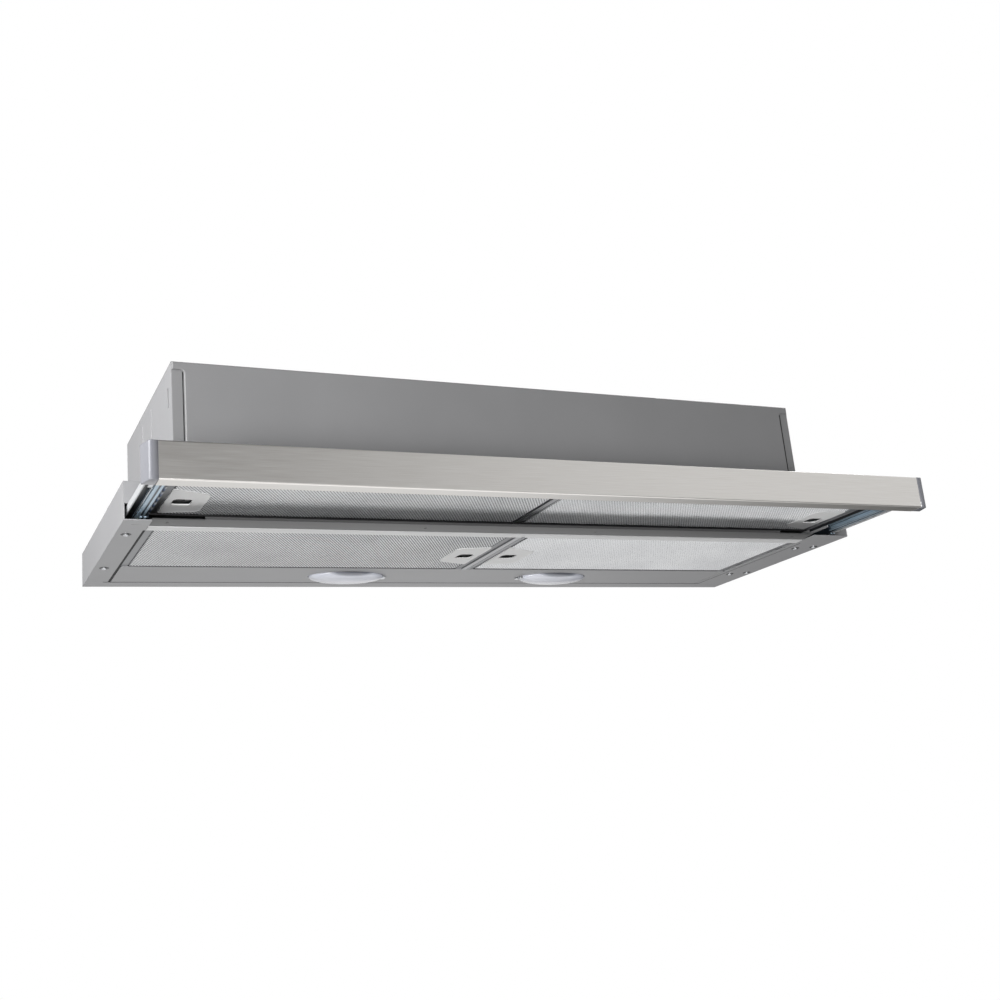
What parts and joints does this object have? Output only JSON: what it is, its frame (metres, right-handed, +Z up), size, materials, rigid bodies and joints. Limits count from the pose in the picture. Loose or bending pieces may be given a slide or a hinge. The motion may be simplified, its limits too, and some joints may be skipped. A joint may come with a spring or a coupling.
{
  "type": "pull out range hood",
  "caption": "Slim built-in range hood whose front visor slides forwards on side runners, with flat mesh filters underneath, oval lamps and a round duct collar on top.",
  "frame": {"origin": "centre of the lower frame's rear face, which stands against the wall", "axes": "+X to the viewer's right, +Y towards the wall, +Z up; the visor pulls out towards -Y"},
  "size_m": [0.898, 0.4423, 0.2135],
  "materials": {
    "coated_steel": "light grey satin powder coat",
    "coated_steel_grey": "mid grey satin powder coat",
    "housing_grey": "mid grey satin powder coat",
    "crossbar_steel": "grey satin powder coat",
    "dark_steel": "dark grey satin powder coat",
    "divider_strip": "satin aluminium extrusion",
    "zinc_steel": "zinc plated slide steel",
    "motor_steel": "grey motor shell",
    "bright_steel": "bright zinc plated steel",
    "brushed_stainless": "stainless steel brushed along its length",
    "filter_aluminium": "plain aluminium",
    "filter_mesh": "expanded aluminium mesh",
    "latch_plate": "plain pressed aluminium",
    "grey_plastic": "grey moulded plastic",
    "white_plastic": "white moulded plastic",
    "black_plastic": "black moulded plastic",
    "frosted_lens": "frosted lamp cover",
    "cage_brass": "brass coloured ball cage",
    "wire_sleeve": "soft wire sleeves"
  },
  "bodies": {
    "chassis": {"lower_frame": "coated_steel", "front_crossbar": "crossbar_steel", "filter_divider": "divider_strip", "lamp_strip": "coated_steel_grey", "housing_wrap": "housing_grey", "housing_side_left": "coated_steel", "housing_side_right": "coated_steel", "slide_bracket_left": "coated_steel", "slide_bracket_right": "coated_steel", "slide_outer_left": "zinc_steel", "slide_outer_right": "zinc_steel", "arm_guides": "white_plastic", "lamp_holder_left": "white_plastic", "lamp_holder_right": "white_plastic", "lamp_lens_left": "frosted_lens", "lamp_lens_right": "frosted_lens", "scroll_left": "black_plastic", "scroll_right": "black_plastic", "motor": "motor_steel", "terminal_box": "white_plastic", "lamp_driver": "white_plastic", "cable_gland": "black_plastic", "outlet_collar": "black_plastic", "chassis_screws": "bright_steel"},
    "visor": {"visor_strip": "brushed_stainless", "visor_rail": "crossbar_steel", "end_cap_left": "grey_plastic", "end_cap_right": "grey_plastic", "visor_arm_left": "coated_steel", "visor_arm_right": "coated_steel", "slide_inner_left": "zinc_steel", "slide_inner_right": "zinc_steel", "visor_tray": "dark_steel", "visor_divider": "divider_strip", "control_box": "white_plastic", "control_wires": "wire_sleeve", "visor_filter_frame_left": "filter_aluminium", "visor_filter_frame_right": "filter_aluminium", "visor_filter_mesh_left": "filter_mesh", "visor_filter_mesh_right": "filter_mesh", "visor_latch_plate_left": "latch_plate", "visor_latch_plate_right": "latch_plate"},
    "fixed_filter_left": {"fixed_filter_frame_left": "filter_aluminium", "fixed_filter_mesh_left": "filter_mesh", "fixed_latch_plate_left": "latch_plate"},
    "fixed_filter_right": {"fixed_filter_frame_right": "filter_aluminium", "fixed_filter_mesh_right": "filter_mesh", "fixed_latch_plate_right": "latch_plate"},
    "visor_latch_left": {"visor_latch_left": "grey_plastic"},
    "visor_latch_right": {"visor_latch_right": "grey_plastic"},
    "fixed_latch_left": {"fixed_latch_left": "grey_plastic"},
    "fixed_latch_right": {"fixed_latch_right": "grey_plastic"},
    "ball_cage_left": {"ball_cage_left": "cage_brass"},
    "ball_cage_right": {"ball_cage_right": "cage_brass"},
    "fan": {"fan_wheel": "black_plastic", "motor_shaft": "bright_steel"},
    "flap_front": {"flap_front": "grey_plastic"},
    "flap_rear": {"flap_rear": "grey_plastic"},
    "light_knob": {"light_knob": "black_plastic"},
    "speed_knob": {"speed_knob": "black_plastic"}
  },
  "joints": [
    {"name": "visor_slide", "type": "slide", "parent": "chassis", "child": "visor", "axis": [0, -1, 0], "range_m": [-0.124, 0.046]},
    {"name": "ball_cage_left_slide", "type": "slide", "parent": "chassis", "child": "ball_cage_left", "axis": [0, -1, 0], "range_m": [-0.062, 0.023]},
    {"name": "ball_cage_right_slide", "type": "slide", "parent": "chassis", "child": "ball_cage_right", "axis": [0, -1, 0], "range_m": [-0.062, 0.023]},
    {"name": "fixed_filter_left_hinge", "type": "hinge", "parent": "chassis", "child": "fixed_filter_left", "pos_m": [-0.4216, -0.1817, -0.0179], "axis": [0, 1, 0], "range_deg": [0, 35]},
    {"name": "fixed_filter_right_hinge", "type": "hinge", "parent": "chassis", "child": "fixed_filter_right", "pos_m": [0.3961, -0.1817, -0.0179], "axis": [0, -1, 0], "range_deg": [0, 35]},
    {"name": "visor_latch_left_slide", "type": "slide", "parent": "visor", "child": "visor_latch_left", "axis": [1, 0, 0], "range_m": [0, 0.0046], "stiffness_N_per_m": 150, "springref_m": -0.003},
    {"name": "visor_latch_right_slide", "type": "slide", "parent": "visor", "child": "visor_latch_right", "axis": [-1, 0, 0], "range_m": [0, 0.0046], "stiffness_N_per_m": 150, "springref_m": -0.003},
    {"name": "fixed_latch_left_slide", "type": "slide", "parent": "fixed_filter_left", "child": "fixed_latch_left", "axis": [-1, 0, 0], "range_m": [0, 0.0046], "stiffness_N_per_m": 150, "springref_m": -0.003},
    {"name": "fixed_latch_right_slide", "type": "slide", "parent": "fixed_filter_right", "child": "fixed_latch_right", "axis": [1, 0, 0], "range_m": [0, 0.0046], "stiffness_N_per_m": 150, "springref_m": -0.003},
    {"name": "fan_spin", "type": "hinge", "parent": "chassis", "child": "fan", "pos_m": [0, -0.163, 0.084], "axis": [1, 0, 0], "continuous": true},
    {"name": "flap_front_hinge", "type": "hinge", "parent": "chassis", "child": "flap_front", "pos_m": [0, -0.13, 0.177], "axis": [-1, 0, 0], "range_deg": [0, 75]},
    {"name": "flap_rear_hinge", "type": "hinge", "parent": "chassis", "child": "flap_rear", "pos_m": [0, -0.13, 0.177], "axis": [1, 0, 0], "range_deg": [0, 75]},
    {"name": "light_knob_slide", "type": "slide", "parent": "visor", "child": "light_knob", "axis": [1, 0, 0], "range_m": [0, 0.008]},
    {"name": "speed_knob_slide", "type": "slide", "parent": "visor", "child": "speed_knob", "axis": [1, 0, 0], "range_m": [0, 0.018]}
  ],
  "couplings": [
    {"joint": "ball_cage_left_slide", "follows": "visor_slide", "ratio": 0.5},
    {"joint": "ball_cage_right_slide", "follows": "visor_slide", "ratio": 0.5}
  ]
}
